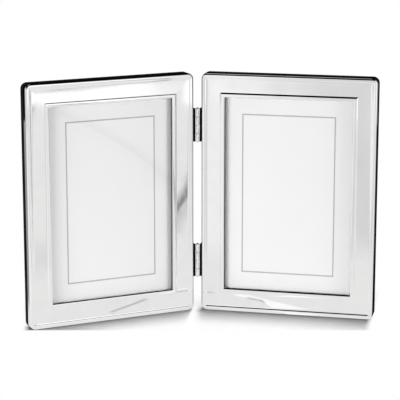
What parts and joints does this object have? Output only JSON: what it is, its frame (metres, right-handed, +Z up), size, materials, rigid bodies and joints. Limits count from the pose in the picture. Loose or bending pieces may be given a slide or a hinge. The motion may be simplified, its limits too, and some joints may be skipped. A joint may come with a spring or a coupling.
{
  "type": "double photo frame",
  "caption": "Hinged double photo frame: two silver-plated metal leaves with velvet backs fold like a book and hold glazed portrait photos.",
  "frame": {"origin": "on the surface the frame stands on, under the middle of its box", "axes": "+X along the open pair to the right leaf, +Y towards the velvet backs, +Z up"},
  "size_m": [0.2612, 0.0532, 0.182],
  "materials": {
    "silver": "polished silver plate",
    "glass": "clear",
    "card": "smooth printed card",
    "backing": "grey board",
    "velvet": "black velvet over board",
    "button": "black lacquered",
    "screw": "bright plated",
    "hinge": "polished plated steel",
    "hinge_pin": "polished plated steel"
  },
  "bodies": {
    "left_leaf": {"left_front_shell": "silver", "left_glass": "glass", "left_photo_card": "card", "left_backing_card": "backing", "left_back_frame": "velvet", "left_back_door": "velvet", "left_button_screws": "screw", "left_hinge_screws": "screw", "lower_hinge_left_plate": "hinge", "upper_hinge_left_plate": "hinge", "lower_hinge_pin": "hinge_pin", "upper_hinge_pin": "hinge_pin"},
    "right_leaf": {"right_front_shell": "silver", "right_glass": "glass", "right_photo_card": "card", "right_backing_card": "backing", "right_back_frame": "velvet", "right_back_door": "velvet", "right_button_screws": "screw", "right_hinge_screws": "screw", "lower_hinge_right_plate": "hinge", "upper_hinge_right_plate": "hinge"},
    "left_turn_button_bottom": {"left_turn_button_bottom": "button"},
    "left_turn_button_outer": {"left_turn_button_outer": "button"},
    "left_turn_button_top": {"left_turn_button_top": "button"},
    "left_turn_button_inner": {"left_turn_button_inner": "button"},
    "right_turn_button_bottom": {"right_turn_button_bottom": "button"},
    "right_turn_button_outer": {"right_turn_button_outer": "button"},
    "right_turn_button_top": {"right_turn_button_top": "button"},
    "right_turn_button_inner": {"right_turn_button_inner": "button"}
  },
  "joints": [
    {"name": "fold", "type": "hinge", "parent": "left_leaf", "child": "right_leaf", "pos_m": [0, 0.01517, 0.091], "axis": [0, 0, 1], "range_deg": [-143, 57]},
    {"name": "left_bottom_button_turn", "type": "hinge", "parent": "left_leaf", "child": "left_turn_button_bottom", "pos_m": [-0.06888, 0.00562, 0.0052], "axis": [-0.3173, 0.9483, 0], "range_deg": [-90, 90]},
    {"name": "left_outer_button_turn", "type": "hinge", "parent": "left_leaf", "child": "left_turn_button_outer", "pos_m": [-0.12616, -0.01354, 0.091], "axis": [-0.3173, 0.9483, 0], "range_deg": [-90, 90]},
    {"name": "left_top_button_turn", "type": "hinge", "parent": "left_leaf", "child": "left_turn_button_top", "pos_m": [-0.06888, 0.00562, 0.1768], "axis": [-0.3173, 0.9483, 0], "range_deg": [-90, 90]},
    {"name": "left_inner_button_turn", "type": "hinge", "parent": "left_leaf", "child": "left_turn_button_inner", "pos_m": [-0.0116, 0.02479, 0.091], "axis": [-0.3173, 0.9483, 0], "range_deg": [-90, 90]},
    {"name": "right_bottom_button_turn", "type": "hinge", "parent": "right_leaf", "child": "right_turn_button_bottom", "pos_m": [0.06888, 0.00562, 0.0052], "axis": [0.3173, 0.9483, 0], "range_deg": [-90, 90]},
    {"name": "right_outer_button_turn", "type": "hinge", "parent": "right_leaf", "child": "right_turn_button_outer", "pos_m": [0.12616, -0.01354, 0.091], "axis": [0.3173, 0.9483, 0], "range_deg": [-90, 90]},
    {"name": "right_top_button_turn", "type": "hinge", "parent": "right_leaf", "child": "right_turn_button_top", "pos_m": [0.06888, 0.00562, 0.1768], "axis": [0.3173, 0.9483, 0], "range_deg": [-90, 90]},
    {"name": "right_inner_button_turn", "type": "hinge", "parent": "right_leaf", "child": "right_turn_button_inner", "pos_m": [0.0116, 0.02479, 0.091], "axis": [0.3173, 0.9483, 0], "range_deg": [-90, 90]}
  ]
}
